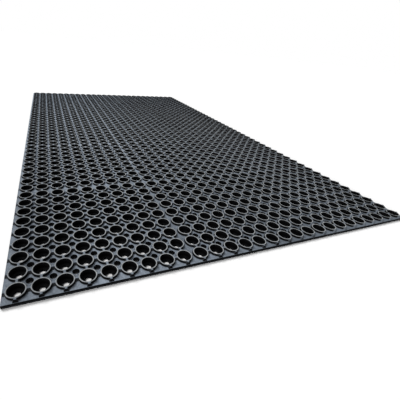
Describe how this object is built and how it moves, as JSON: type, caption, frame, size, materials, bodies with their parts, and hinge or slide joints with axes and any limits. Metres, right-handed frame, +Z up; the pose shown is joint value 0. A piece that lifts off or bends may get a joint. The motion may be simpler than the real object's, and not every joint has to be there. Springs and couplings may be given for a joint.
{
  "type": "anti fatigue mat",
  "caption": "Moulded rubber ring mat for standing work: a flat grid of open rings on a drained web, made of square panels that fold up along cross seams.",
  "frame": {"origin": "on the floor, under the middle of the mat", "axes": "+X along the short front edge to the right, +Y along the long side from the front edge to the back edge, +Z up"},
  "size_m": [0.9144, 1.521, 0.0127],
  "materials": {
    "rubber": "matte"
  },
  "bodies": {
    "middle_band": {"middle_left_panel": "rubber", "middle_centre_panel": "rubber", "middle_right_panel": "rubber"},
    "near_band": {"near_left_panel": "rubber", "near_centre_panel": "rubber", "near_right_panel": "rubber"},
    "front_band": {"front_left_panel": "rubber", "front_centre_panel": "rubber", "front_right_panel": "rubber"},
    "far_band": {"far_left_panel": "rubber", "far_centre_panel": "rubber", "far_right_panel": "rubber"},
    "back_band": {"back_left_panel": "rubber", "back_centre_panel": "rubber", "back_right_panel": "rubber"}
  },
  "joints": [
    {"name": "near_fold", "type": "hinge", "parent": "middle_band", "child": "near_band", "pos_m": [0, -0.15165, 0.0127], "axis": [-1, 0, 0], "range_deg": [0, 70]},
    {"name": "front_fold", "type": "hinge", "parent": "near_band", "child": "front_band", "pos_m": [0, -0.45495, 0.0127], "axis": [-1, 0, 0], "range_deg": [0, 70]},
    {"name": "far_fold", "type": "hinge", "parent": "middle_band", "child": "far_band", "pos_m": [0, 0.15165, 0.0127], "axis": [1, 0, 0], "range_deg": [0, 70]},
    {"name": "back_fold", "type": "hinge", "parent": "far_band", "child": "back_band", "pos_m": [0, 0.45495, 0.0127], "axis": [1, 0, 0], "range_deg": [0, 70]}
  ]
}
